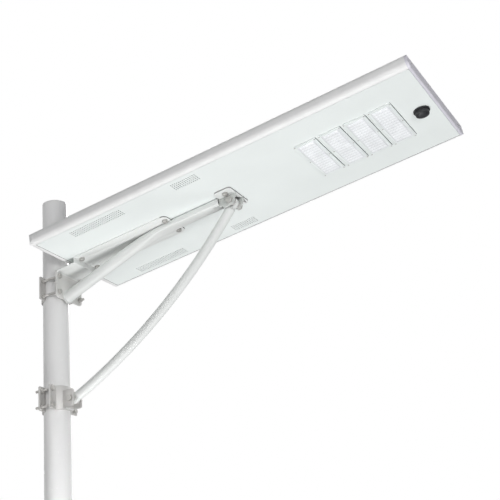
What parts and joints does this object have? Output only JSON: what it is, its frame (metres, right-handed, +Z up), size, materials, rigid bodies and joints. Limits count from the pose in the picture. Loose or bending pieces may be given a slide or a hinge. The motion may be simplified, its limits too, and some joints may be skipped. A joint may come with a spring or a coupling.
{
  "type": "solar street lamp",
  "caption": "All-in-one solar street lamp: flat housing with a solar panel on top and LED modules below, held on a pole by clamps, an arm and a curved strut",
  "frame": {"origin": "centre of the open lower end of the pole section", "axes": "+Z up along the pole, +X from the pole towards the lit end of the lamp, Y across the lamp"},
  "size_m": [1.2813, 0.425, 1.04],
  "materials": {
    "painted_pole": "light grey-white powder coat, semi-matt",
    "housing_aluminium": "extruded aluminium, fine satin anodised grey",
    "plate_white": "white powder-coated sheet, satin",
    "bracket_white": "white powder-coated steel, satin",
    "bare_steel": "bare galvanised steel, fine brushed grain",
    "fastener_steel": "zinc-plated steel fasteners",
    "heat_sink_aluminium": "die-cast aluminium, light satin",
    "lens_plastic": "clear moulded acrylic lens array",
    "board_white": "white solder mask with yellow-white LED chips",
    "black_plastic": "black moulded plastic, smooth",
    "rubber_seal": "black silicone seal, matt",
    "panel_glass": "low-iron tempered glass, smooth",
    "silicon_cell": "dark blue monocrystalline silicon cells",
    "backsheet_white": "white laminated sheet",
    "cell_wrap": "blue shrink-wrapped cells",
    "tray_steel": "grey painted sheet",
    "controller_case": "dark finned aluminium case",
    "wire_black": "black silicone wire jacket",
    "button_plastic": "dark rubber-coated button"
  },
  "bodies": {
    "pole": {"pole_tube": "painted_pole", "pole_cap": "painted_pole"},
    "lamp": {"arm_end_lug": "bracket_white", "backsheet": "backsheet_white", "battery_cells": "cell_wrap", "battery_straps": "tray_steel", "battery_tray": "tray_steel", "bottom_plate": "plate_white", "bottom_plate_screws": "fastener_steel", "charge_controller": "controller_case", "clamp_nuts": "fastener_steel", "clamp_washers": "fastener_steel", "end_cap_screws": "fastener_steel", "foot_bolt": "fastener_steel", "foot_lug": "bare_steel", "foot_nut": "fastener_steel", "hinge_bracket": "bracket_white", "internal_wiring": "wire_black", "junction_box": "black_plastic", "lamp_mount_bolts": "fastener_steel", "lamp_mount_nuts": "fastener_steel", "lamp_mount_washers": "fastener_steel", "led_board_1": "board_white", "led_board_2": "board_white", "led_board_3": "board_white", "led_board_4": "board_white", "led_gaskets": "rubber_seal", "led_heat_sink_1": "heat_sink_aluminium", "led_heat_sink_2": "heat_sink_aluminium", "led_heat_sink_3": "heat_sink_aluminium", "led_heat_sink_4": "heat_sink_aluminium", "led_lens_1": "lens_plastic", "led_lens_2": "lens_plastic", "led_lens_3": "lens_plastic", "led_lens_4": "lens_plastic", "led_module_screws": "fastener_steel", "light_end_cap": "housing_aluminium", "link_spacers": "bare_steel", "lower_clamp_bolts": "fastener_steel", "lower_front_band": "bare_steel", "lower_rear_band": "bare_steel", "mast_plate": "bracket_white", "mast_saddles": "bracket_white", "mounting_plate": "bracket_white", "panel_seal": "rubber_seal", "pivot_bolt": "fastener_steel", "pivot_nut": "fastener_steel", "pole_end_cap": "housing_aluminium", "power_switch": "black_plastic", "sensor_base": "black_plastic", "sensor_lens": "black_plastic", "side_rail_far": "housing_aluminium", "side_rail_near": "housing_aluminium", "solar_cells": "silicon_cell", "solar_glass": "panel_glass", "strut": "bracket_white", "support_arm": "bracket_white", "upper_clamp_bolts": "fastener_steel", "upper_rear_band": "bare_steel"},
    "button": {"power_button": "button_plastic"}
  },
  "joints": [
    {"name": "aim_swivel", "type": "hinge", "parent": "pole", "child": "lamp", "pos_m": [0, 0, 0.414], "axis": [0, 0, 1], "continuous": true},
    {"name": "power_press", "type": "slide", "parent": "lamp", "child": "button", "axis": [0.9928, 0, 0.1201], "range_m": [0, 0.0025], "stiffness_N_per_m": 500, "springref_m": -0.002}
  ]
}
